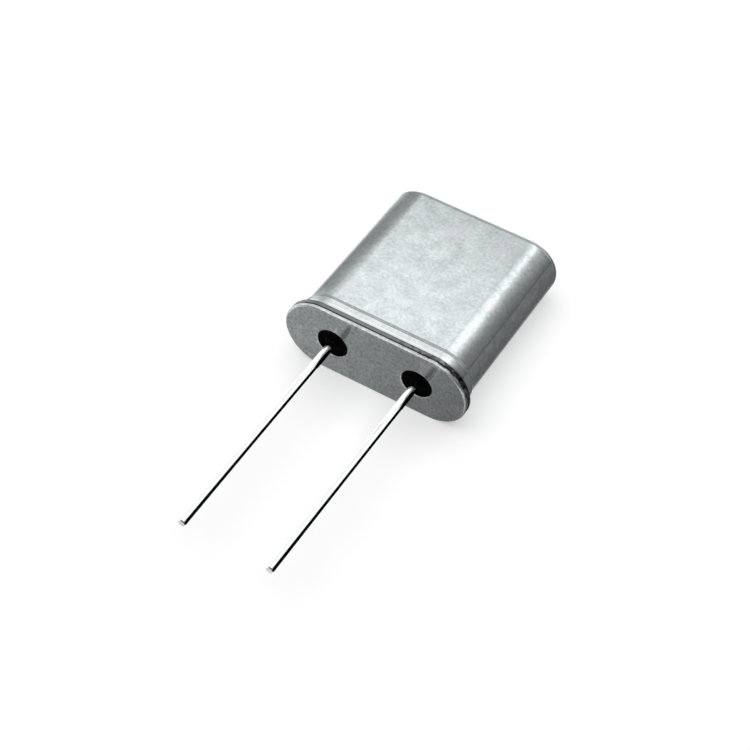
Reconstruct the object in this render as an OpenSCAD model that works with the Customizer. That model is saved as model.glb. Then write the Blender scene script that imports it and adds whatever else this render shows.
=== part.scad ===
// Two-lead quartz crystal in a flat, welded metal case, lying on its wide side.
// X runs from lead to lead, Y from the base towards the closed end of the cover, and Z through the
// thickness. The origin is the middle of the base's outer face, between the leads.

/* [Case] */
// Height of the case, from the base's outer face to the closed end
case_h = 8; // [7:0.1:10]
// Width over the welded flange
flange_w = 8.05; // [7.5:0.05:9.8]
// Thickness over the welded flange
flange_t = 3.25; // [2.8:0.05:4]
// How far the flange stands out from the body of the cover
lip = 0.3; // [0.26:0.01:0.4]
// Thickness of the cover's sheet
sheet_t = 0.2; // [0.12:0.01:0.25]
// Outer radius of the edge round the closed end
end_edge_r = 0.4; // [0.3:0.05:0.8]

/* [Root of the cover] */
// How far the widened root stands out from the body
root_step = 0.06; // [0.03:0.01:0.09]
// How far the widened root reaches past the base's inner step
root_over = 0; // [0:0.05:0.5]
// Length of the blend from the root to the body
root_blend_h = 0.2; // [0.15:0.05:0.4]
// Radius of the cove between the flange and the root
root_cove_r = 0.12; // [0.06:0.01:0.14]
// Radius of the edges round the cover's flange
cover_edge_r = 0.05; // [0.02:0.01:0.06]

/* [Base] */
// Thickness of the base's flange
base_flange_t = 0.2; // [0.16:0.01:0.3]
// Thickness of the base where the leads pass through it
base_h = 0.9; // [0.7:0.05:1.2]
// Radius of the outer edge of the base's flange
base_front_r = 0.09; // [0.03:0.01:0.1]
// Radius of the welded edge of the base's flange
base_weld_r = 0.05; // [0.02:0.01:0.06]
// Room between the base's inner step and the mouth of the cover
base_clear = 0.03; // [0.01:0.01:0.08]
// Edge break round the inner step
base_step_edge = 0.06; // [0.02:0.01:0.12]

/* [Leads and seals] */
// Distance between the leads
lead_pitch = 3.75; // [3.4:0.05:4.6]
// Diameter of a lead
lead_d = 0.35; // [0.3:0.01:0.45]
// Length of a lead outside the case
lead_length = 10; // [3:0.5:15]
// Edge break at the cut end of a lead
lead_end_edge = 0.04; // [0:0.01:0.08]
// How much thicker a lead's shank is under its head
lead_swell = 0.02; // [0.01:0.005:0.04]
// Diameter of a lead's inner head
head_d = 0.76; // [0.7:0.02:0.9]
// Thickness of a lead's inner head
head_t = 0.16; // [0.1:0.01:0.25]
// Height of the head's underside above the base
head_lift = 0.1; // [0.05:0.01:0.3]
// Diameter of a glass seal
glass_d = 1.34; // [1:0.02:1.4]
// Depth of the dished glass surface, outside and inside
glass_dish = 0.08; // [0.03:0.01:0.12]
// Edge break round the hole of a seal
hole_edge = 0.04; // [0.02:0.01:0.06]

/* [Quartz plate and its mount] */
// Thickness of the quartz plate
blank_t = 0.2; // [0.1:0.01:0.3]
// Least room round the quartz plate, to the closed end and to the sides
blank_room = 0.45; // [0.3:0.05:0.7]
// Least room between the quartz plate and the feet of its clips
blank_lift = 0.4; // [0.2:0.05:0.8]
// Edge bevel of the quartz plate
blank_bevel = 0.05; // [0.02:0.01:0.08]
// Thickness of a metal film
film_t = 0.01; // [0.005:0.001:0.02]
// Bare rim of quartz round a metal film
film_rim = 1.1; // [0.8:0.05:1.4]
// Width of a film's tab
tab_w = 0.7; // [0.4:0.05:1]
// Thickness of a clip's strip
clip_t = 0.1; // [0.06:0.01:0.15]
// Width of a clip's strip
clip_w = 1; // [0.8:0.05:1.2]
// Inner radius of a clip's bend
clip_bend_r = 0.15; // [0.08:0.01:0.2]
// How far the quartz plate reaches through a clip
clip_grip = 0.2; // [0.15:0.01:0.3]
// Room round the quartz plate in a clip's slot
slot_clear = 0.05; // [0.02:0.01:0.1]
// Length of a clip's strip beyond each end of its slot
slot_land = 0.3; // [0.2:0.05:0.5]
// Diameter of a dab of cement
cement_d = 0.9; // [0.7:0.05:1.1]
// Height of a dab of cement over the quartz plate
cement_h = 0.16; // [0.1:0.01:0.25]
// Edge radius of a dab of cement
cement_edge_r = 0.1; // [0.04:0.01:0.12]

/* [Hidden] */
$fn = 64;
// Reach of a cutter past what it cuts
past = 0.5;

// The case is a straight run between two half-round ends, all at one distance from the middle line
flange_r = flange_t / 2;
span = flange_w - flange_t;
body_r = flange_r - lip;
root_r = body_r + root_step;
mouth_r = root_r - sheet_t;
cavity_r = body_r - sheet_t;
step_r = mouth_r - base_clear;
cover_h = case_h - base_flange_t;
cavity_h = cover_h - sheet_t;
root_h = base_h - base_flange_t - sheet_t + root_over;
blend_r = (root_blend_h * root_blend_h + root_step * root_step) / (4 * root_step);

lead_x = lead_pitch / 2;
lead_r = lead_d / 2;
glass_r = glass_d / 2;
head_y = base_h + head_lift;
foot_y = head_y + head_t;

// The quartz plate is as large as its rooms allow, and stands in the middle of what is left
blank_top_y = case_h - sheet_t - blank_room;
blank_low_y = foot_y + clip_t + blank_lift;
blank_d = min(blank_top_y - blank_low_y, span + 2 * cavity_r - 2 * blank_room);
blank_r = blank_d / 2;
blank_y = (blank_top_y + blank_low_y) / 2;
film_r = blank_r - film_rim;

// A clip stands where the plate's edge has come through it by the grip
clip_x = blank_r - clip_grip;
slot_half = sqrt(pow(blank_r + slot_clear, 2) - clip_x * clip_x);
slot_w = blank_t + 2 * film_t + 2 * slot_clear;
clip_top_y = blank_y + slot_half + slot_land;
foot_in_x = lead_x - head_d / 2;

// ---- Shared forms ----

// Stands a shape that was drawn with its height along Z along the case, towards +Y
module along_case(y = 0) {
    translate([0, y, 0]) rotate([-90, 0, 0]) children();
}

// Left is -X and right is +X
module at_side(side) {
    if (side == "left") mirror([1, 0, 0]) children();
    else children();
}

// Carries a half section round the case's middle line: x is the distance from the line, y the height
module round_case() {
    for (turn = [0, 1]) {
        mirror([turn, 0, 0])
            translate([span / 2, 0, 0])
                rotate([0, 0, -90])
                    rotate_extrude(angle = 180) children();
    }
    translate([-span / 2, 0, 0])
        rotate([90, 0, 90])
            linear_extrude(span) {
                children();
                mirror([1, 0]) children();
            }
}

// A block from the middle line out to w, with its two outer corners rounded
module slab_section(w, h, low_r, high_r) {
    difference() {
        square([w, h]);
        corner_cut(w, 0, low_r, 1);
        corner_cut(w, h, high_r, -1);
    }
}

// What a radius takes off the outer corner at (x, y); way is 1 on a lower corner and -1 on an upper one
module corner_cut(x, y, r, way) {
    translate([x, y]) turned_over(way) difference() {
        translate([-r, -past]) square([r + past, r + past]);
        translate([-r, r]) circle(r);
    }
}

// Turns a shape over in y where the way is -1
module turned_over(way) {
    if (way < 0) mirror([0, 1]) children();
    else children();
}

// ---- Cover ----

// One face of the cover's sheet, as a filled half section from the flange to the closed end, with
// two arcs that lead from the widened root into the body
module shell_section(body_reach, root_reach, h, edge_r) {
    blend_low = sheet_t + root_h;
    blend_mid = blend_low + root_blend_h / 2;
    blend_high = blend_low + root_blend_h;
    slab_section(body_reach, h, 0, edge_r);
    square([root_reach, blend_low]);
    intersection() {
        union() {
            square([root_reach - blend_r, blend_mid]);
            translate([root_reach - blend_r, blend_low]) circle(blend_r);
        }
        square([root_reach, blend_mid]);
    }
    difference() {
        translate([0, blend_mid]) square([root_reach, root_blend_h / 2]);
        translate([body_reach + blend_r, blend_high]) circle(blend_r);
    }
}

module cover_section() {
    bend_r = root_cove_r + sheet_t;
    difference() {
        union() {
            slab_section(flange_r, sheet_t, cover_edge_r, cover_edge_r);
            translate([root_r, sheet_t]) difference() {
                square(root_cove_r);
                translate([root_cove_r, root_cove_r]) circle(root_cove_r);
            }
            shell_section(body_r, root_r, cover_h, end_edge_r);
        }
        shell_section(cavity_r, mouth_r, cavity_h, end_edge_r - sheet_t);
        translate([mouth_r, 0]) difference() {
            translate([-past / 2, -past / 2]) square([bend_r + past / 2, bend_r + past / 2]);
            translate([bend_r, bend_r]) circle(bend_r);
        }
    }
}

module cover() {
    color("gainsboro") along_case(base_flange_t) round_case() cover_section();
}

// ---- Base ----

module base_section() {
    slab_section(flange_r, base_flange_t, base_front_r, base_weld_r);
    difference() {
        square([step_r, base_h]);
        translate([step_r, base_h]) rotate(45) square(base_step_edge * sqrt(2), center = true);
    }
}

// A hole for one seal, with its edge broken on the outer face
module seal_hole() {
    translate([0, 0, -past]) cylinder(r = glass_r, h = base_h + 2 * past);
    translate([0, 0, -past])
        cylinder(r1 = glass_r + hole_edge + past, r2 = glass_r, h = hole_edge + past);
}

module base_plate() {
    color("darkgray") along_case() difference() {
        round_case() base_section();
        for (way = [-1, 1]) translate([way * lead_x, 0, 0]) seal_hole();
    }
}

// ---- Seals and leads ----

// Cuts a dish between two points of a section, out of what lies to their right
module dish_cut(from, to) {
    chord = norm(to - from);
    dish_r = (chord * chord / 4 + glass_dish * glass_dish) / (2 * glass_dish);
    along = (to - from) / chord;
    middle = (from + to) / 2;
    translate(middle + (dish_r - glass_dish) * [along[1], -along[0]]) circle(dish_r);
}

module glass_section() {
    difference() {
        square([glass_r, base_h]);
        dish_cut([lead_r, 0], [glass_r, hole_edge]);
        dish_cut([glass_r, base_h], [shank_r_at(base_h), base_h]);
        shank_section();
    }
}

// The shank swells slightly from the wire's own size, at the outer face, to that under the head
function shank_r_at(y) = lead_r + lead_swell * y / head_y;

module shank_section() {
    polygon([[0, 0], [lead_r, 0], [shank_r_at(head_y), head_y], [0, head_y]]);
}

module glass_seal(side) {
    color("black") at_side(side) translate([lead_x, 0, 0]) along_case() rotate_extrude() glass_section();
}

module lead(side) {
    color("silver") at_side(side) translate([lead_x, 0, 0]) along_case() {
        rotate_extrude() shank_section();
        translate([0, 0, lead_end_edge - lead_length])
            cylinder(r = lead_r, h = lead_length - lead_end_edge);
        translate([0, 0, -lead_length])
            cylinder(r1 = lead_r - lead_end_edge, r2 = lead_r, h = lead_end_edge);
        translate([0, 0, head_y]) cylinder(r = head_d / 2, h = head_t);
    }
}

// ---- Quartz plate, films, clips and cement ----

module blank_section() {
    edge = blank_r - blank_bevel;
    side = blank_t / 2 - blank_bevel;
    polygon([
        [0, -blank_t / 2], [edge, -blank_t / 2], [blank_r, -side],
        [blank_r, side], [edge, blank_t / 2], [0, blank_t / 2]
    ]);
}

module quartz_blank() {
    color("azure") translate([0, blank_y, 0]) rotate_extrude() blank_section();
}

// A round film with a tab to one side, on the face of the plate that the way gives
module film(side, way) {
    at_side(side) translate([0, blank_y, way * (blank_t + film_t) / 2 - film_t / 2])
        linear_extrude(film_t) intersection() {
            union() {
                circle(film_r);
                translate([0, -tab_w / 2]) square([blank_r, tab_w]);
            }
            circle(blank_r - blank_bevel);
        }
}

module electrode_front() {
    color("silver") film("left", 1);
}

module electrode_back() {
    color("silver") film("right", -1);
}

// The bent strip seen along Z: a foot on the lead's head, a bend and an upright
module clip_profile() {
    bend_x = clip_x - clip_bend_r;
    bend_y = foot_y + clip_t + clip_bend_r;
    translate([foot_in_x, foot_y]) square([bend_x - foot_in_x, clip_t]);
    translate([clip_x, bend_y]) square([clip_t, clip_top_y - bend_y]);
    translate([bend_x, bend_y]) intersection() {
        difference() {
            circle(clip_bend_r + clip_t);
            circle(clip_bend_r);
        }
        translate([0, -clip_bend_r - past]) square([clip_bend_r + past, clip_bend_r + past]);
    }
}

module mount_clip(side) {
    color("lightgray") at_side(side) difference() {
        translate([0, 0, -clip_w / 2]) linear_extrude(clip_w) clip_profile();
        translate([clip_x - past, blank_y - slot_half, -slot_w / 2])
            cube([clip_t + 2 * past, 2 * slot_half, slot_w]);
    }
}

module dab_section() {
    reach = blank_t / 2 + film_t + cement_h;
    translate([0, -reach]) slab_section(cement_d / 2, 2 * reach, cement_edge_r, cement_edge_r);
}

module cement(side) {
    color("dimgray") difference() {
        at_side(side) translate([clip_x + clip_t / 2, blank_y, 0]) rotate_extrude() dab_section();
        mount_clip(side);
        quartz_blank();
        electrode_front();
        electrode_back();
    }
}

cover();
base_plate();
glass_seal("left");  // glass_seal_left
glass_seal("right");  // glass_seal_right
lead("left");  // lead_left
lead("right");  // lead_right
mount_clip("left");  // mount_clip_left
mount_clip("right");  // mount_clip_right
quartz_blank();
electrode_front();
electrode_back();
cement("left");  // cement_left
cement("right");  // cement_right
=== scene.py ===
"""A two-lead quartz crystal in a flat metal case, lying on its wide side on a pale table."""
import math

import bmesh
import bpy
from mathutils import Matrix, Vector


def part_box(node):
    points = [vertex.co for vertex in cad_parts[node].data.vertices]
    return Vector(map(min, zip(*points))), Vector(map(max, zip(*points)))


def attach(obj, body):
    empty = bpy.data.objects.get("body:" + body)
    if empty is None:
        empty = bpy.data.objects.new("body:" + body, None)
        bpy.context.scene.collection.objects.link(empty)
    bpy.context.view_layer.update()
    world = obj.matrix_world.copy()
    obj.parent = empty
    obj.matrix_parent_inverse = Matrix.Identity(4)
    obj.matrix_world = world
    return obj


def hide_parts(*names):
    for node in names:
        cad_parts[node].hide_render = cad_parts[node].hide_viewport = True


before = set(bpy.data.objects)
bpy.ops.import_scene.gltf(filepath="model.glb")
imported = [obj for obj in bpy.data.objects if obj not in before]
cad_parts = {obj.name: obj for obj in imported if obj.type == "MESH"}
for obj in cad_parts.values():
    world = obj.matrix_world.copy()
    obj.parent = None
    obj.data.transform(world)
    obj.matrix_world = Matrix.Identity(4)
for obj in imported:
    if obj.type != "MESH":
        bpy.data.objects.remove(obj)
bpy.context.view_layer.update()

MM = 0.001

# ---- Sizes of the case, as it is drawn ----

SPAN = 4.8 * MM                        # from the middle of one half-round end to that of the other
LIP = 0.3 * MM                         # how far the flange stands out from the body
ROOT_STEP = 0.06 * MM                  # and how far the widened root does
SHEET = 0.2 * MM                       # the cover's thickness
BASE_ROOM = 0.03 * MM                  # between the cover's mouth and the base's step

FLANGE_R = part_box("cover")[1].z        # distances from the middle line between the two ends
BODY_R = FLANGE_R - LIP
ROOT_R = BODY_R + ROOT_STEP
MOUTH_R = ROOT_R - SHEET
CAVITY_R = BODY_R - SHEET
STEP_R = MOUTH_R - BASE_ROOM

CLOSED_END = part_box("cover")[1].y      # heights above the base's outer face
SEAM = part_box("cover")[0].y
STEP_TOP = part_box("base_plate")[1].y
FLANGE_TOP = SEAM + SHEET
ROOT_TOP = FLANGE_TOP + 0.5 * MM
BLEND_LENGTH = 0.2 * MM

# The widened root runs into the body through two arcs that meet half way
BLEND_TANGENT = (BLEND_LENGTH ** 2 + ROOT_STEP ** 2) / (4 * BLEND_LENGTH)

# How far each edge is rounded or broken
END_ROUND = 0.4 * MM
INNER_END_ROUND = 0.2 * MM
FLANGE_ROUND = 0.05 * MM
COVE = 0.12 * MM
MOUTH_ROUND = 0.32 * MM
BLEND_ROUND = 0.98 * BLEND_TANGENT     # a little short, so that the two arcs don't run into each other
BASE_FRONT_ROUND = 0.09 * MM
STEP_BREAK = 0.06 * MM
HOLE_BREAK = 0.04 * MM                 # the rounded edge of a hole: its depth,
HOLE_ROUND = 0.06 * MM                 # its width
HOLE_BOW = 0.22 * HOLE_BREAK           # and how far it bows out

SEAL_LOW, SEAL_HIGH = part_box("glass_seal_right")
SEAL_R = SEAL_HIGH.z
DISH = 0.08 * MM                       # how deep the glass is dished
LEAD_X = (SEAL_LOW.x + SEAL_HIGH.x) / 2
LEAD_LOW, LEAD_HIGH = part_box("lead_right")
LEAD_R = 0.175 * MM
LEAD_BREAK = 0.04 * MM
SHANK_R = LEAD_R + 0.02 * MM           # the lead swells this far on its way to the head
HEAD_R = LEAD_HIGH.z
HEAD_LOW = STEP_TOP + 0.1 * MM

# Facets round a half-round end, a lead and a seal
END_STEPS = 64
WIRE_STEPS = 48
SEAL_STEPS = 72

# Working sizes
MERGE = 0.0002 * MM                    # points closer than this become one
NEAR = 0.002 * MM                      # corners this close to a ring count as on it
CUTTER_PAST = 0.2 * MM                 # how far a hole cutter stands out of the base,
CUTTER_FOOT = 0.01 * MM                # how far its foot is wider than the hole's edge
FOOT_DROP = 0.001 * MM                 # and how far below the base's face
ENLARGED = 1000
SMOOTH_BELOW = math.radians(32)


# ---- Modelling ----

def start_outline(name, corner):
    """A small plane, merged into one point at the first corner of an outline on the +Z side"""
    bpy.ops.object.select_all(action="DESELECT")
    reach, height = corner
    bpy.ops.mesh.primitive_plane_add(size=0.1 * MM, location=(0, height, reach))
    piece = bpy.context.object
    piece.name = piece.data.name = name
    bpy.ops.object.mode_set(mode="EDIT")
    bpy.ops.mesh.select_mode(type="VERT")
    bpy.ops.mesh.select_all(action="SELECT")
    bpy.ops.mesh.merge(type="CENTER")
    return piece


def draw_outline(name, corners):
    """Extrudes the point from corner to corner; a corner is (distance from the axis, height)"""
    piece = start_outline(name, corners[0])
    for (reach, height), (next_reach, next_height) in zip(corners, corners[1:]):
        step = (0, next_height - height, next_reach - reach)
        bpy.ops.mesh.extrude_region_move(TRANSFORM_OT_translate={"value": step})
    bpy.ops.mesh.select_all(action="SELECT")
    return piece


def weld():
    """Merges the seams and poles of a spun shape, then turns its faces outwards"""
    bpy.ops.mesh.select_all(action="SELECT")
    bpy.ops.mesh.remove_doubles(threshold=MERGE)
    bpy.ops.mesh.normals_make_consistent(inside=False)


def carry_round_case():
    """Carries the outline round both half-round ends and along both flats"""
    bpy.ops.transform.translate(value=(SPAN / 2, 0, 0))
    for side in (1, -1):
        bpy.ops.mesh.spin(steps=END_STEPS, angle=-math.pi, center=(side * SPAN / 2, 0, 0), axis=(0, 1, 0))
        bpy.ops.mesh.extrude_region_move(TRANSFORM_OT_translate={"value": (-side * SPAN, 0, 0)})
    weld()


def turn_round(x, steps):
    """Turns the outline into a round piece about the line at x"""
    bpy.ops.transform.translate(value=(x, 0, 0))
    bpy.ops.mesh.spin(steps=steps, angle=2 * math.pi, center=(x, 0, 0), axis=(0, 1, 0))
    weld()


def round_edge(piece, reach, height, width, segments):
    """Bevels the edge that runs right round the case at one distance from its middle line"""
    bpy.ops.mesh.select_mode(type="EDGE")
    bpy.ops.mesh.select_all(action="DESELECT")
    mesh = bmesh.from_edit_mesh(piece.data)
    place = piece.matrix_world

    def on_ring(point):
        past_span = max(abs(point.x) - SPAN / 2, 0)
        return abs(point.y - height) < NEAR and abs(math.hypot(past_span, point.z) - reach) < NEAR

    for edge in mesh.edges:
        edge.select_set(all(on_ring(place @ vert.co) for vert in edge.verts))
    bmesh.update_edit_mesh(piece.data)
    bpy.ops.mesh.bevel(offset=width, offset_type="OFFSET", segments=segments, profile=0.5,
                       affect="EDGES", clamp_overlap=False)


def set_size(piece, factor):
    """Scales the piece's mesh"""
    piece.scale = (factor,) * 3
    bpy.ops.object.transform_apply(location=False, rotation=False, scale=True)


def finish_piece(piece):
    """Leaves edit mode with the piece's place in its mesh, and shades flats flat and curves smooth"""
    bpy.ops.object.mode_set(mode="OBJECT")
    bpy.ops.object.transform_apply(location=True, rotation=True, scale=True)
    # Weighting normals by area fails on faces as small as these, so it is done on an enlarged piece
    set_size(piece, ENLARGED)
    bpy.ops.object.shade_smooth_by_angle(angle=SMOOTH_BELOW)
    bpy.ops.object.modifier_add(type="WEIGHTED_NORMAL")
    piece.modifiers[-1].keep_sharp = True
    bpy.ops.object.modifier_apply(modifier=piece.modifiers[-1].name)
    set_size(piece, 1 / ENLARGED)


def copy_to_left(piece, name):
    """A copy of a round piece, with a mesh of its own, at the other lead"""
    bpy.ops.object.select_all(action="DESELECT")
    piece.select_set(True)
    bpy.context.view_layer.objects.active = piece
    bpy.ops.object.duplicate(linked=False)
    other = bpy.context.object
    other.name = other.data.name = name
    bpy.ops.transform.translate(value=(-2 * LEAD_X, 0, 0))
    bpy.ops.object.transform_apply(location=True, rotation=False, scale=False)
    return other


def arc(start, end, depth, parts):
    """Corners along a shallow arc from start to end, which bows to the left of that way by depth"""
    (x0, y0), (x1, y1) = start, end
    chord = math.hypot(x1 - x0, y1 - y0)
    radius = (chord * chord / 4 + depth * depth) / (2 * depth)
    along = ((x1 - x0) / chord, (y1 - y0) / chord)
    left = (-along[1], along[0])
    half = math.asin(chord / 2 / radius)
    corners = []
    for part in range(parts + 1):
        turn = half * (2 * part / parts - 1)
        run = chord / 2 + radius * math.sin(turn)
        rise = radius * math.cos(turn) - (radius - depth)
        corners.append((x0 + along[0] * run + left[0] * rise, y0 + along[1] * run + left[1] * rise))
    return corners


# ---- Cover ----

def make_cover():
    """A drawn shell with a rounded closed end, a widened root, a cove and a flange"""
    blend_low = ROOT_TOP + BLEND_TANGENT
    blend_high = ROOT_TOP + BLEND_LENGTH - BLEND_TANGENT
    inner_end = CLOSED_END - SHEET
    piece = draw_outline("cover_shell", [
        (0, CLOSED_END), (BODY_R, CLOSED_END), (BODY_R, blend_high), (ROOT_R, blend_low),
        (ROOT_R, FLANGE_TOP), (FLANGE_R, FLANGE_TOP), (FLANGE_R, SEAM), (MOUTH_R, SEAM),
        (MOUTH_R, blend_low), (CAVITY_R, blend_high), (CAVITY_R, inner_end), (0, inner_end),
    ])
    carry_round_case()
    for reach, height, width, segments in (
        (BODY_R, CLOSED_END, END_ROUND, 14),
        (CAVITY_R, inner_end, INNER_END_ROUND, 6),
        (FLANGE_R, FLANGE_TOP, FLANGE_ROUND, 5),
        (FLANGE_R, SEAM, FLANGE_ROUND, 5),
        (ROOT_R, FLANGE_TOP, COVE, 7),
        (MOUTH_R, SEAM, MOUTH_ROUND, 8),
        (ROOT_R, blend_low, BLEND_ROUND, 5),
        (BODY_R, blend_high, BLEND_ROUND, 5),
        (MOUTH_R, blend_low, BLEND_ROUND, 5),
        (CAVITY_R, blend_high, BLEND_ROUND, 5),
    ):
        round_edge(piece, reach, height, width, segments)
    finish_piece(piece)
    return piece


# ---- Base ----

def make_hole_cutter(name, x):
    """A round cutter that widens at its foot, so that it rounds the edge of the hole too"""
    foot_r = SEAL_R + HOLE_ROUND + CUTTER_FOOT
    rounding = arc((SEAL_R + HOLE_ROUND, 0), (SEAL_R, HOLE_BREAK), HOLE_BOW, 5)
    cutter = draw_outline(name, [
        (0, -CUTTER_PAST), (foot_r, -CUTTER_PAST), (foot_r, -FOOT_DROP),
        *rounding[1:], (SEAL_R, STEP_TOP + CUTTER_PAST), (0, STEP_TOP + CUTTER_PAST),
    ])
    turn_round(x, SEAL_STEPS)
    bpy.ops.object.mode_set(mode="OBJECT")
    return cutter


def make_base():
    """A stamped plate with a thin flange, a step that fills the cover's mouth and two holes"""
    piece = draw_outline("base_stamping", [
        (0, 0), (FLANGE_R, 0), (FLANGE_R, SEAM), (STEP_R, SEAM), (STEP_R, STEP_TOP), (0, STEP_TOP),
    ])
    carry_round_case()
    for reach, height, width, segments in (
        (FLANGE_R, 0, BASE_FRONT_ROUND, 6),
        (FLANGE_R, SEAM, FLANGE_ROUND, 5),
        (STEP_R, STEP_TOP, STEP_BREAK, 1),
    ):
        round_edge(piece, reach, height, width, segments)
    bpy.ops.object.mode_set(mode="OBJECT")
    for x in (-LEAD_X, LEAD_X):
        cutter = make_hole_cutter("hole_cutter", x)
        bpy.ops.object.select_all(action="DESELECT")
        piece.select_set(True)
        bpy.context.view_layer.objects.active = piece
        bpy.ops.object.modifier_add(type="BOOLEAN")
        cut = piece.modifiers[-1]
        cut.operation = "DIFFERENCE"
        cut.solver = "EXACT"
        cut.object = cutter
        bpy.ops.object.modifier_apply(modifier=cut.name)
        bpy.data.objects.remove(cutter)
    finish_piece(piece)
    return piece


# ---- Seals and leads ----

def make_seal():
    """A bead of glass round the lead, dished where it meets the air on both faces"""
    shank_at_top = LEAD_R + (SHANK_R - LEAD_R) * STEP_TOP / HEAD_LOW
    front = arc((LEAD_R, 0), (SEAL_R, HOLE_BREAK), DISH, 14)
    back = arc((SEAL_R, STEP_TOP), (shank_at_top, STEP_TOP), DISH, 14)
    piece = draw_outline("seal_bead_right", front + back + [front[0]])
    turn_round(LEAD_X, SEAL_STEPS)
    finish_piece(piece)
    return piece


def make_lead():
    """A straight wire with a broken edge at its tip, a slightly swelling shank and a flat head"""
    tip = LEAD_LOW.y
    piece = draw_outline("lead_wire_right", [
        (0, tip), (LEAD_R - LEAD_BREAK, tip), (LEAD_R, tip + LEAD_BREAK), (LEAD_R, 0),
        (SHANK_R, HEAD_LOW), (HEAD_R, HEAD_LOW), (HEAD_R, LEAD_HIGH.y), (0, LEAD_HIGH.y),
    ])
    turn_round(LEAD_X, WIRE_STEPS)
    finish_piece(piece)
    return piece


# ---- Materials ----

def new_tree(name):
    """A material whose nodes are only a Principled shader and its output"""
    material = bpy.data.materials.new(name)
    material.use_nodes = True
    return material, material.node_tree, material.node_tree.nodes["Principled BSDF"]


def feed(tree, value, target):
    """Gives an input a value or another node's output"""
    if isinstance(value, bpy.types.NodeSocket):
        tree.links.new(value, target)
    else:
        target.default_value = value


def set_inputs(tree, node, **values):
    """Feeds a node's inputs; an underscore stands for a space in an input's name"""
    for name, value in values.items():
        feed(tree, value, node.inputs[name.replace("_", " ")])


def add(tree, kind, **settings):
    """A node with its settings: an attribute where the node has one of that name, else an input"""
    node = tree.nodes.new(kind)
    for name, value in settings.items():
        if hasattr(node, name):
            setattr(node, name, value)
        else:
            set_inputs(tree, node, **{name: value})
    return node


def calculate(tree, operation, *values, kind="ShaderNodeMath", result="Value"):
    """The result of a sum on values or other nodes' outputs"""
    node = add(tree, kind, operation=operation)
    for value, target in zip(values, node.inputs):
        feed(tree, value, target)
    return node.outputs[result]


def spread_value(tree, value, low=0.0, high=1.0, start=0.0, end=1.0, smooth=False):
    """Maps start to low and end to high"""
    return add(tree, "ShaderNodeMapRange", Value=value, From_Min=start, From_Max=end, To_Min=low, To_Max=high,
               interpolation_type="SMOOTHSTEP" if smooth else "LINEAR").outputs["Result"]


def mix_colour(tree, factor, low, high):
    """Low where the factor is 0 and high where it is 1; each is a colour or a node's output"""
    mix = add(tree, "ShaderNodeMix", data_type="RGBA", Factor=factor)
    for name, colour in (("A", low), ("B", high)):
        target = [socket for socket in mix.inputs if socket.name == name and socket.type == "RGBA"][0]
        feed(tree, colour if isinstance(colour, bpy.types.NodeSocket) else (*colour, 1), target)
    return [socket for socket in mix.outputs if socket.type == "RGBA"][0]


def mix_shaders(tree, factor, low, high):
    """Low where the factor is 0 and high where it is 1"""
    mix = add(tree, "ShaderNodeMixShader")
    for value, target in zip((factor, low, high), mix.inputs):
        feed(tree, value, target)
    return mix.outputs["Shader"]


def noise(tree, place, **settings):
    """A level that wanders between 0 and 1 from place to place"""
    return add(tree, "ShaderNodeTexNoise", Vector=place, **settings).outputs["Fac"]


def relief(tree, height, depth, strength):
    """Normals bent by a height"""
    return add(tree, "ShaderNodeBump", Strength=strength, Distance=depth, Height=height).outputs["Normal"]


def place_in_mm(tree):
    """The object's own coordinates, in millimetres"""
    place = add(tree, "ShaderNodeTexCoord").outputs["Object"]
    return add(tree, "ShaderNodeMapping", Scale=(1 / MM,) * 3, Vector=place).outputs["Vector"]


def start_group(name, settings, results):
    """An empty group that works on a place in millimetres, with its settings and results"""
    group = bpy.data.node_groups.new(name, "ShaderNodeTree")
    face = group.interface
    face.new_socket("Place", in_out="INPUT", socket_type="NodeSocketVector")
    for setting, value in settings:
        face.new_socket(setting, in_out="INPUT", socket_type="NodeSocketFloat").default_value = value
    for result in results:
        face.new_socket(result, in_out="OUTPUT", socket_type="NodeSocketFloat")
    return group, group.nodes.new("NodeGroupInput").outputs, group.nodes.new("NodeGroupOutput").inputs


def use_group(tree, group, place, **settings):
    """The outputs of a group that is used in a material"""
    node = tree.nodes.new("ShaderNodeGroup")
    node.node_tree = group
    set_inputs(tree, node, Place=place, **settings)
    return node.outputs


def make_metal_grain():
    """Fine grain, drawing lines along Y and broad blotches"""
    group, inlet, outlet = start_group(
        "metal grain",
        (("Grain Scale", 11.0), ("Grain Weight", 0.5), ("Line Scale", 14.0), ("Line Weight", 0.5),
         ("Blotch Scale", 0.9)),
        ("Height", "Tone", "Tint"))
    place = inlet["Place"]
    grain = noise(group, place, Scale=inlet["Grain Scale"], Detail=2.0, Roughness=0.6)
    blotch = noise(group, place, Scale=inlet["Blotch Scale"], Detail=4.0, Roughness=0.62)
    drawn_out = calculate(group, "MULTIPLY", place, (1, 0.04, 1),
                          kind="ShaderNodeVectorMath", result="Vector")
    lines = noise(group, drawn_out, Scale=inlet["Line Scale"], Detail=3.0, Roughness=0.55)
    elsewhere = calculate(group, "ADD", place, (7.3, 2.1, 4.6),
                          kind="ShaderNodeVectorMath", result="Vector")
    tint = noise(group, elsewhere, Scale=inlet["Blotch Scale"], Detail=3.0, Roughness=0.55)
    tone = add(group, "ShaderNodeMix", data_type="FLOAT", Factor=inlet["Grain Weight"],
               A=spread_value(group, blotch, start=0.37, end=0.63),
               B=spread_value(group, grain, start=0.34, end=0.66)).outputs["Result"]
    feed(group, calculate(group, "MULTIPLY_ADD", lines, inlet["Line Weight"], grain), outlet["Height"])
    feed(group, tone, outlet["Tone"])
    feed(group, spread_value(group, tint, start=0.54, end=0.72), outlet["Tint"])
    return group


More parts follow.
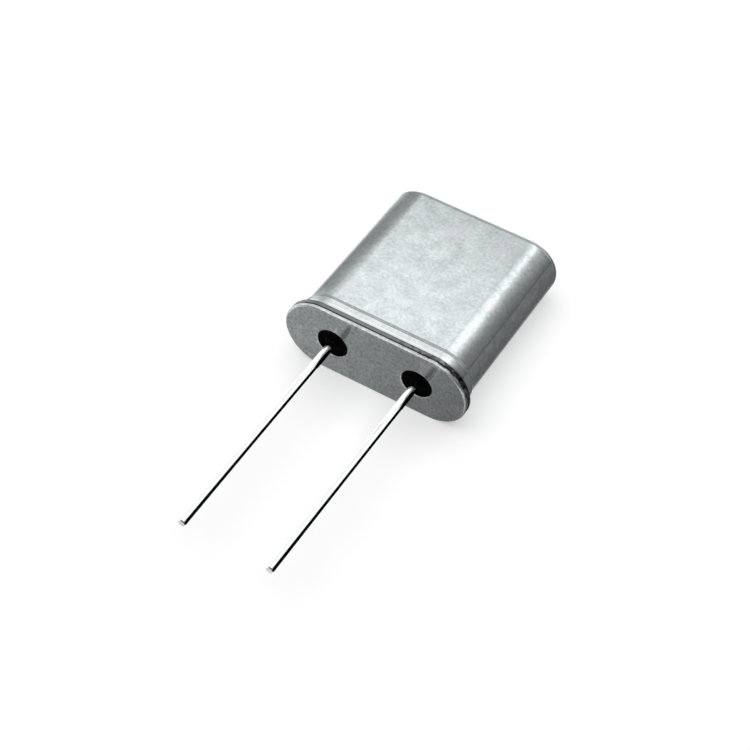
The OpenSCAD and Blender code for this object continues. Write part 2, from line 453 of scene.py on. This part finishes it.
def make_seam_shade():
    """A mask that is 1 near one height of the case, with a ragged edge; Spots breaks it up into spots, which
    gather towards the right end"""
    group, inlet, outlet = start_group(
        "seam shade",
        (("Height", SEAM / MM), ("Half Width", 0.05), ("Fade", 0.05), ("Ragged", 0.04), ("Strength", 1.0),
         ("Spots", 0.0)),
        ("Mask",))
    place = inlet["Place"]
    parts = add(group, "ShaderNodeSeparateXYZ", Vector=place).outputs
    away = calculate(group, "ABSOLUTE", calculate(group, "SUBTRACT", parts["Y"], inlet["Height"]))
    ragged = noise(group, place, Scale=3.5, Detail=3.0, Roughness=0.65)
    away = calculate(group, "MULTIPLY_ADD", ragged, inlet["Ragged"], away)
    edge = calculate(group, "ADD", inlet["Half Width"], inlet["Fade"])
    band = spread_value(group, away, inlet["Strength"], 0.0, inlet["Half Width"], edge, smooth=True)
    flecks = noise(group, place, Scale=6.0, Detail=2.0, Roughness=0.6)
    spots = calculate(group, "MULTIPLY", spread_value(group, flecks, start=0.44, end=0.56, smooth=True),
                      spread_value(group, parts["X"], start=0.0, end=3.4))
    kept = calculate(group, "MULTIPLY_ADD", calculate(group, "SUBTRACT", spots, 1.0), inlet["Spots"], 1.0)
    feed(group, calculate(group, "MULTIPLY", band, kept), outlet["Mask"])
    return group


SKIN = 0.88                            # how metallic the satin skin is; along the seams it is fully so
# Painted shade: dark colours for the flanges, the groove where they meet and the cover's root just behind its
# flange
COVER_PAINTED_SHADE, BASE_PAINTED_SHADE = (0.13, 0.135, 0.135), (0.14, 0.145, 0.145)
# Painted highlight: a white band on the cover's root above its flange
PAINTED_HIGHLIGHT = (1.0, 1.0, 1.0)
# Near-black spots along the flanges, more of them towards the right end
NEAR_BLACK = (0.012, 0.012, 0.012)


def satin_metal(name, dull, bright, tinted, seams, rough, grain, depth, push):
    """Satin sheet metal with grain, blotches and a faint tint, with painted shade, a painted highlight and
    near-black spots in bands along its seams; a seam is (height, half width, fade, strength, whether in
    spots, colour)"""
    material, tree, shader = new_tree(name)
    place = place_in_mm(tree)
    surface = use_group(tree, METAL_GRAIN, place, **grain)
    colour = mix_colour(tree, surface["Tone"], dull, bright)
    colour = mix_colour(tree, surface["Tint"], colour, tinted)
    in_band = 0.0
    for height, half_width, fade, strength, spots, band_colour in seams:
        mask = use_group(tree, SEAM_SHADE, place, Height=height / MM, Half_Width=half_width / MM,
                         Fade=fade / MM, Strength=strength, Spots=spots)["Mask"]
        colour = mix_colour(tree, mask, colour, band_colour)
        in_band = calculate(tree, "MAXIMUM", in_band, mask)
    set_inputs(tree, shader, Base_Color=colour, Metallic=spread_value(tree, in_band, SKIN, 1.0),
               Roughness=spread_value(tree, surface["Tone"], *rough),
               Normal=relief(tree, surface["Height"], depth, push))
    return material


def make_cover_metal():
    # Bands of painted shade on the cover's flange, in the groove where the flanges meet and on the root just
    # behind the flange, a painted highlight band on the root, and near-black spots towards the right end
    seams = (
        (SEAM + 0.5 * SHEET, 0.12 * MM, 0.05 * MM, 0.86, 0, COVER_PAINTED_SHADE),
        (SEAM, 0.03 * MM, 0.04 * MM, 0.6, 0, COVER_PAINTED_SHADE),
        (FLANGE_TOP + 0.09 * MM, 0.12 * MM, 0.06 * MM, 0.97, 0, COVER_PAINTED_SHADE),
        (FLANGE_TOP + 0.2 * MM, 0.05 * MM, 0.1 * MM, 0.7, 0, PAINTED_HIGHLIGHT),
        (SEAM + 0.6 * SHEET, 0.16 * MM, 0.1 * MM, 0.95, 1, NEAR_BLACK),
    )
    grain = {"Line_Weight": 0.5, "Grain_Weight": 0.5, "Grain_Scale": 7.5, "Blotch_Scale": 1.4}
    return satin_metal("drawn nickel silver", (0.61, 0.665, 0.672), (0.885, 0.96, 0.965),
                       (0.82, 0.825, 0.86), seams, (0.17, 0.13), grain, 0.002 * MM, 0.5)


def make_base_metal():
    # Painted shade in the groove where the flanges meet, and near-black spots towards the right end
    seams = (
        (SEAM, 0.04 * MM, 0.04 * MM, 0.9, 0, BASE_PAINTED_SHADE),
        (SEAM, 0.09 * MM, 0.05 * MM, 0.95, 1, NEAR_BLACK),
    )
    grain = {"Line_Weight": 0.1, "Blotch_Scale": 1.4, "Grain_Weight": 0.7, "Grain_Scale": 8.0}
    return satin_metal("plated base steel", (0.43, 0.465, 0.47), (0.83, 0.875, 0.88), (0.60, 0.63, 0.62),
                       seams, (0.33, 0.29), grain, 0.002 * MM, 0.5)


def make_clip_metal():
    return satin_metal("rolled spring strip", (0.60, 0.59, 0.56), (0.74, 0.73, 0.70), (0.66, 0.66, 0.66),
                       (), (0.30, 0.22), {"Line_Weight": 0.9}, 0.001 * MM, 0.2)


def make_seal_glass():
    """Opaque black glass, with faint bubbles under its skin"""
    material, tree, shader = new_tree("black sealing glass")
    place = place_in_mm(tree)
    bubbles = add(tree, "ShaderNodeTexVoronoi", Scale=9.0, Randomness=1.0, Vector=place).outputs["Distance"]
    dots = spread_value(tree, bubbles, 1.0, 0.0, 0.05, 0.16)
    waves = noise(tree, place, Scale=3.0, Detail=2.0)
    set_inputs(tree, shader, Base_Color=mix_colour(tree, dots, (0.002, 0.002, 0.0025), (0.01, 0.01, 0.012)),
               Roughness=spread_value(tree, waves, 0.15, 0.3), Specular_IOR_Level=0.01,
               Normal=relief(tree, waves, 0.01 * MM, 0.3))
    return material


def make_lead_metal():
    """Bright tinned wire with faint lines along its length"""
    material, tree, shader = new_tree("bright tinned wire")
    surface = use_group(tree, METAL_GRAIN, place_in_mm(tree), Grain_Scale=22.0, Line_Scale=20.0,
                        Line_Weight=1.2, Blotch_Scale=2.5)
    tone = surface["Tone"]
    set_inputs(tree, shader, Base_Color=mix_colour(tree, tone, (0.84, 0.85, 0.85), (0.93, 0.94, 0.93)),
               Metallic=1, Roughness=spread_value(tree, tone, 0.13, 0.08),
               Normal=relief(tree, surface["Height"], 0.001 * MM, 0.2))
    return material


def make_quartz():
    """Clear polished quartz with a faint lapped haze"""
    material, tree, shader = new_tree("clear quartz")
    haze = noise(tree, place_in_mm(tree), Scale=5.0, Detail=3.0)
    set_inputs(tree, shader, Base_Color=mix_colour(tree, haze, (0.90, 0.94, 0.95), (0.97, 0.985, 0.99)),
               Roughness=spread_value(tree, haze, 0.02, 0.09), IOR=1.544, Transmission_Weight=1)
    return material


def make_electrode_film():
    """Evaporated silver, a little cloudy"""
    material, tree, shader = new_tree("silver film")
    cloud = noise(tree, place_in_mm(tree), Scale=2.0, Detail=4.0)
    set_inputs(tree, shader, Base_Color=mix_colour(tree, cloud, (0.80, 0.79, 0.76), (0.93, 0.92, 0.90)),
               Metallic=1, Roughness=spread_value(tree, cloud, 0.16, 0.06))
    return material


def make_cement():
    """Silver-filled epoxy: matt grey with bright flakes"""
    material, tree, shader = new_tree("silver-filled cement")
    flakes = add(tree, "ShaderNodeTexVoronoi", Scale=45.0, Vector=place_in_mm(tree)).outputs["Distance"]
    bright = spread_value(tree, flakes, 1.0, 0.0, 0.1, 0.45)
    set_inputs(tree, shader, Base_Color=mix_colour(tree, bright, (0.36, 0.36, 0.35), (0.66, 0.66, 0.65)),
               Roughness=spread_value(tree, bright, 0.75, 0.4), Normal=relief(tree, flakes, 0.004 * MM, 0.5))
    return material


def dress(piece, material):
    piece.data.materials.clear()
    piece.data.materials.append(material)


# ---- The pieces ----

METAL_GRAIN = make_metal_grain()
SEAM_SHADE = make_seam_shade()

cover = make_cover()
base = make_base()
seal_right = make_seal()
seal_left = copy_to_left(seal_right, "seal_bead_left")
lead_right = make_lead()
lead_left = copy_to_left(lead_right, "lead_wire_left")

cover_metal = make_cover_metal()
base_metal = make_base_metal()
seal_glass = make_seal_glass()
lead_metal = make_lead_metal()

for piece, material, node, slot in (
    (cover, cover_metal, "cover", "cover_metal"),
    (base, base_metal, "base_plate", "base_metal"),
    (seal_left, seal_glass, "glass_seal_left", "seal_glass"),
    (seal_right, seal_glass, "glass_seal_right", "seal_glass"),
    (lead_left, lead_metal, "lead_left", "lead_wire"),
    (lead_right, lead_metal, "lead_right", "lead_wire"),
):
    dress(piece, material)
    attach(piece, "root")
    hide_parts(node)

clip_metal = make_clip_metal()
quartz = make_quartz()
silver_film = make_electrode_film()
cement = make_cement()
for node, material in (
    ("mount_clip_left", clip_metal), ("mount_clip_right", clip_metal), ("quartz_blank", quartz),
    ("electrode_front", silver_film), ("electrode_back", silver_film),
    ("cement_left", cement), ("cement_right", cement),
):
    dress(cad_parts[node], material)


# ---- Table, light and camera ----

# The brightest level that a card or the vault may have
BRIGHTEST = 1.4

# How bright the vault over the table is, from the left (-90 degrees) over the top (0) to the right (90)
NEAR_VAULT = (
    (-90, 1.05), (-34, 1.04), (-24, 1.07), (-20, 1.02), (-14, 0.83), (-8, 1.19), (8, 1.32), (14, 1.26),
    (20, 1.09), (28, 0.70), (38, 0.36), (50, 0.19), (60, 0.135), (76, 0.11), (84, 0.09), (87, 0.0), (90, 0.0),
)
FAR_VAULT = (
    (-90, 0.0), (-30, 0.10), (-24, 0.34), (-20, 0.48), (-14, 0.40), (-8, 0.55), (8, 1.30), (14, 1.10),
    (20, 0.62), (28, 0.34), (38, 0.38), (50, 0.36), (60, 0.26), (76, 0.13), (84, 0.10), (87, 0.0), (90, 0.0),
)
FRONT_VAULT = (
    (-90, 0.22), (-42, 0.26), (-28, 0.9), (-14, 1.05), (8, 1.30), (20, 0.93), (38, 0.24), (66, 0.09),
    (90, 0.0),
)

# How bright its front end is, and its far end along Y, which is 1 at the very end
FRONT_LEVEL = 0.16
BACK_LEVELS = ((0.70, 0.38), (0.85, 0.40), (1.0, 0.50))

# How bright the screen on the left is along a slanting height, and the cards on the table along their own
# directions, in mm
SCREEN_SLANT = -0.55
SCREEN_LEVELS = (
    (-10.3, 1.0), (-8.8, 0.95), (-7.3, 0.78), (-6.6, 0.62), (-5.9, 0.48), (-5.1, 0.34), (-4.3, 0.25),
    (-3.6, 0.205), (-2.8, 0.225), (-1.3, 0.25), (-0.4, 0.28), (0.7, 0.35), (2.0, 0.49), (3.7, 0.68),
    (6.2, 0.86), (8.7, 1.05),
)
LEFT_CARD_LEVELS = (
    (-5.5, 0.38), (-4.5, 0.44), (-3.84, 0.56), (-3.36, 0.68), (-3.0, 0.78), (-2.2, 0.95), (-1.4, 1.08),
    (-0.6, 1.15), (0.4, 1.22), (1.2, 1.25),
)
RIGHT_CARD_LEVELS = ((4.0, 0.085), (4.7, 0.10), (6.5, 0.12), (12.0, 0.13), (700.0, 0.13))
FAR_FRONT_LEVELS = ((-13.0, 0.1), (-12.2, 0.7), (-10.8, 0.7), (-10.2, 0.1), (-3.6, 0.2))

VAULT_R = 0.6
TABLE_R = 1.5
TABLE_GLOW = 0.42                      # a glow that the table has only where it is seen
ROOM_LIGHT = (0.15, 0.15, 0.15)
SOFTBOX_LEVEL = 1.6
CARD_LIFT = 0.02 * MM                  # how far the cards lie above the table
MIRROR_Y = -0.35 * MM                  # where the cards stand that face the base

# The case lies on its flange and on the far end of its body
TILT = math.atan((FLANGE_R - BODY_R) / (CLOSED_END - END_ROUND))

# From the middle of the view towards the camera
VIEW_AZIMUTH, VIEW_ELEVATION = math.radians(30.39), math.radians(50.16)
VIEW = Vector((math.sin(VIEW_AZIMUTH) * math.cos(VIEW_ELEVATION),
               -math.cos(VIEW_AZIMUTH) * math.cos(VIEW_ELEVATION), math.sin(VIEW_ELEVATION)))
VIEW_CENTRE = Vector((0.21, -0.244, -0.264)) * MM
VIEW_DISTANCE = 76.02 * MM
VIEW_ROLL = math.radians(1.63)


def show(tree, surface):
    """Makes a shader's output the material's surface"""
    tree.links.new(surface, tree.nodes["Material Output"].inputs["Surface"])


def where_seen(tree):
    """1 for what the camera sees, straight, in metal or through glass, and 0 for what only lights the case"""
    path = add(tree, "ShaderNodeLightPath").outputs
    seen = calculate(tree, "MAXIMUM", path["Is Camera Ray"], path["Is Glossy Ray"])
    return calculate(tree, "MAXIMUM", seen, path["Is Transmission Ray"])


def make_table():
    """A pale table that touches the case's flange and the far end of its body, and is clear from below"""
    bpy.ops.object.select_all(action="DESELECT")
    bpy.ops.mesh.primitive_circle_add(vertices=96, radius=TABLE_R, fill_type="NGON",
                                      location=(0, 0, -FLANGE_R), rotation=(TILT, 0, 0))
    table = bpy.context.object
    table.name = table.data.name = "table"
    material, tree, shader = new_tree("pale table")
    place = add(tree, "ShaderNodeTexCoord").outputs["Object"]
    paper = noise(tree, place, Scale=900.0, Detail=3.0)
    set_inputs(tree, shader, Base_Color=mix_colour(tree, paper, (0.70, 0.70, 0.70), (0.74, 0.74, 0.74)),
               Roughness=0.9, Specular_IOR_Level=0.0)
    glow = add(tree, "ShaderNodeEmission", Strength=TABLE_GLOW).outputs["Emission"]
    none = add(tree, "ShaderNodeEmission", Strength=0.0).outputs["Emission"]
    both = add(tree, "ShaderNodeAddShader")
    feed(tree, shader.outputs["BSDF"], both.inputs[0])
    feed(tree, mix_shaders(tree, where_seen(tree), none, glow), both.inputs[1])
    below = add(tree, "ShaderNodeNewGeometry").outputs["Backfacing"]
    clear = add(tree, "ShaderNodeBsdfTransparent").outputs["BSDF"]
    show(tree, mix_shaders(tree, below, both.outputs["Shader"], clear))
    dress(table, material)


def level_ramp(tree, value, stops):
    """Brightness over a value that runs from the first stop to the last"""
    first, last = stops[0][0], stops[-1][0]
    ramp = add(tree, "ShaderNodeValToRGB", Fac=spread_value(tree, value, start=first, end=last))
    elements = ramp.color_ramp.elements
    while len(elements) < len(stops):
        elements.new(0.5)
    for element, (place, level) in zip(elements, stops):
        element.position = (place - first) / (last - first)
        element.color = (*(level / BRIGHTEST,) * 3, 1)
    return ramp.outputs["Color"]


def keep_to_reflections(thing):
    """Hides a thing from everything but reflections"""
    for ray in ("camera", "diffuse", "transmission", "volume_scatter", "shadow"):
        setattr(thing, "visible_" + ray, False)


def make_studio_vault():
    """A vault over the table, bright overhead, grey at its ends and dark on the right"""
    bpy.ops.object.select_all(action="DESELECT")
    bpy.ops.mesh.primitive_uv_sphere_add(segments=48, ring_count=32, radius=VAULT_R)
    vault = bpy.context.object
    vault.name = vault.data.name = "studio_vault"
    bpy.ops.object.shade_smooth()
    material, tree, shader = new_tree("studio vault")
    tree.nodes.remove(shader)
    place = add(tree, "ShaderNodeTexCoord").outputs["Object"]
    place = add(tree, "ShaderNodeMapping", Scale=(1 / VAULT_R,) * 3, Vector=place).outputs["Vector"]
    parts = add(tree, "ShaderNodeSeparateXYZ", Vector=place).outputs
    turn = calculate(tree, "DEGREES", calculate(tree, "ARCTAN2", parts["X"], parts["Z"]))
    level = level_ramp(tree, turn, NEAR_VAULT)
    # Each next level takes over between two places along Y
    for start, end, next_level in (
        (0.60, 0.66, level_ramp(tree, turn, FAR_VAULT)),
        (-0.1, -0.4, level_ramp(tree, turn, FRONT_VAULT)),
        (0.70, 0.77, level_ramp(tree, parts["Y"], BACK_LEVELS)),
        (-0.50, -0.78, (FRONT_LEVEL / BRIGHTEST,) * 3),
    ):
        part = spread_value(tree, parts["Y"], start=start, end=end, smooth=True)
        level = mix_colour(tree, part, level, next_level)
    show(tree, add(tree, "ShaderNodeEmission", Strength=BRIGHTEST, Color=level).outputs["Emission"])
    dress(vault, material)
    keep_to_reflections(vault)


def make_card(name, corners, slant, stops, fades=(), one_sided=False, once=False):
    """A card that only reflections see. Its brightness runs along a slanting direction through stops of
    (mm, level). It fades out along Y or Z between the places that are given in mm. Its back can be left
    clear, and so can the whole card to a reflection of a reflection"""
    bpy.ops.object.select_all(action="DESELECT")
    bpy.ops.mesh.primitive_plane_add(size=1)
    card = bpy.context.object
    card.name = card.data.name = name
    for vert, corner in zip(card.data.vertices, corners):
        vert.co = corner
    material, tree, shader = new_tree(name.replace("_", " "))
    tree.nodes.remove(shader)
    place = place_in_mm(tree)
    along = calculate(tree, "DOT_PRODUCT", place, slant, kind="ShaderNodeVectorMath")
    parts = add(tree, "ShaderNodeSeparateXYZ", Vector=place).outputs
    shares = [spread_value(tree, parts[axis], start=gone, end=there, smooth=True)
              for axis, gone, there in fades]
    if one_sided:
        behind = add(tree, "ShaderNodeNewGeometry").outputs["Backfacing"]
        shares.append(spread_value(tree, behind, 1.0, 0.0))
    if once:
        bounces = add(tree, "ShaderNodeLightPath").outputs["Ray Depth"]
        shares.append(spread_value(tree, bounces, 1.0, 0.0, 1.0, 2.0))
    level = level_ramp(tree, along, stops)
    surface = add(tree, "ShaderNodeEmission", Strength=BRIGHTEST, Color=level).outputs["Emission"]
    for share in shares:
        clear = add(tree, "ShaderNodeBsdfTransparent").outputs["BSDF"]
        surface = mix_shaders(tree, share, clear, surface)
    show(tree, surface)
    dress(card, material)
    keep_to_reflections(card)


def make_plain_card(name, corners, level, once=False):
    """A card of one level with a clear back"""
    make_card(name, corners, (1, 0, 0), ((-5.0, level), (5.0, level)), one_sided=True, once=once)


def on_table(x, y):
    """A point just above the table"""
    return Vector((x, y, -FLANGE_R + y * math.tan(TILT) + CARD_LIFT))


def make_table_cards():
    """Grey cards on the table that only reflections see: painted shade in front of the base and on the right,
    where the case's shadow falls, and painted light on the left, darker further away
    """
    for name, low_x, high_x, low_y, high_y, slant, stops in (
        ("front_card", -6.5, 4.0, -3.6, -0.02, (1, 0, 0), ((-6.5, 0.43), (4.0, 0.145))),
        ("far_front_card", -9.0, 6.0, -40, -3.6, (0, 1, 0), FAR_FRONT_LEVELS),
        ("front_right_card", 4.0, 12, -3.6, -0.3, (1, 0, 0), ((4.0, 0.5), (12.0, 0.5))),
        ("right_card", 4.0, 700, -0.3, 700, (1, 0, 0), RIGHT_CARD_LEVELS),
        ("near_right_card", 3.3, 4.0, -0.02, 700, (1, 0, 0), ((3.3, 0.5), (4.0, 0.2))),
        ("left_card", -8.0, -4.9, -0.02, 700, (1, 0.6, 0), LEFT_CARD_LEVELS),
    ):
        corners = [on_table(x * MM, y * MM) for y in (low_y, high_y) for x in (low_x, high_x)]
        make_card(name, corners, slant, stops)


def make_left_screen():
    """A tall screen that stands on the left of the case, dark at its foot and soft at its edges"""
    corners = [Vector((-8.0, y, z)) * MM for z in (-1.6, 16) for y in (3.4, 19)]
    make_card("left_screen", corners, (0, SCREEN_SLANT, 1), SCREEN_LEVELS,
              (("Y", 3.6, 5.0), ("Y", 19.0, 14.0), ("Z", 16.0, 11.0)))


def make_lead_cards():
    """Cards by each lead, edge-on to the camera: on its right a black strip in front of a white card, with
    the strip wide by the seal, slim along the lead and wider again by the tip; on its left a small white
    card, which is wider near the seal. A dark and a grey card face the base, and give it the lead's dark
    mirror streak"""
    across = Vector((VIEW.z, 0, -VIEW.x)).normalized()
    along = Vector((VIEW.x, 0, VIEW.z)).normalized()
    past_tip = LEAD_LOW.y / MM - 0.3
    # Each end of a card is (y, how far it goes down, how far it goes up), in mm
    strip = ((past_tip, 0.05, 0.9), (-5.2, 0.02, 0.6), (-1.2, 0.10, 0.48), (-0.15, 1.7, 1.1))
    left_edge = ((past_tip, 0.24, 0.12), (-2.4, 0.24, 0.12), (-0.75, 0.24, 0.7), (-0.12, -0.4, 0.7))
    # Each card is (colour, level, how far it is to the right of the lead's middle in mm, its two ends)
    cards = [("black", 0.0, 0.32, ends) for ends in zip(strip, strip[1:])]
    cards.append(("white", 1.2, 0.36, ((past_tip, 1.7, 3.0), (-0.7, 1.7, 3.0))))
    cards += [("white", 1.2, -0.25, ends) for ends in zip(left_edge, left_edge[1:])]
    for side, x, grey in (("left", -LEAD_X, 0.33), ("right", LEAD_X, 0.26)):
        for number, (colour, level, reach, ends) in enumerate(cards):
            middle = Vector((x, 0, 0)) + across * reach * MM
            corners = []
            for y, down, up in ends:
                edge = (middle - along * down * MM, middle + along * up * MM)[::1 if reach > 0 else -1]
                corners += [Vector((end.x, y * MM, end.z)) for end in edge]
            make_plain_card(f"{colour}_card_{side}_{number}", corners, level, once=level > 0)
        for colour, level, asides in (("dark", 0.03, (0.06, 0.23)), ("grey", grey, (-0.6, 0.06))):
            corners = [Vector((x, MIRROR_Y, 0)) + (across * aside + along * ahead) * MM
                       for aside in asides for ahead in (0.1, 1.25)]
            make_plain_card(f"{colour}_card_{side}", corners, level)


def make_world():
    """A pale room: white where it is seen, dimmer where it only lights the case"""
    world = bpy.data.worlds.new("pale room")
    bpy.context.scene.world = world
    world.use_nodes = True
    tree = world.node_tree
    light = mix_colour(tree, where_seen(tree), ROOM_LIGHT, (1, 1, 1))
    set_inputs(tree, tree.nodes["Background"], Color=light)


def make_softbox():
    """A large softbox overhead, which lights the table and casts the case's soft shadow"""
    data = bpy.data.lights.new("overhead softbox", "AREA")
    data.shape = "RECTANGLE"
    data.size, data.size_y = 0.40, 0.42
    data.energy = SOFTBOX_LEVEL * math.pi * data.size * data.size_y
    lamp = bpy.data.objects.new("overhead_softbox", data)
    bpy.context.collection.objects.link(lamp)
    lamp.location = (-0.03, 0.02, 0.25)
    lamp.visible_glossy = False


def make_camera():
    data = bpy.data.cameras.new("camera")
    data.lens = 96.0
    data.sensor_width = 36.0
    data.clip_start, data.clip_end = 0.001, 10
    camera = bpy.data.objects.new("camera", data)
    bpy.context.collection.objects.link(camera)
    upright = (-VIEW).to_track_quat("-Z", "Y").to_matrix().to_4x4()
    roll = Matrix.Rotation(VIEW_ROLL, 4, "Z")
    camera.matrix_world = Matrix.Translation(VIEW_CENTRE + VIEW * VIEW_DISTANCE) @ upright @ roll
    bpy.context.scene.camera = camera


make_table()
make_studio_vault()
make_world()
make_table_cards()
make_left_screen()
make_lead_cards()
make_softbox()
make_camera()
bpy.context.scene.view_settings.view_transform = "Standard"
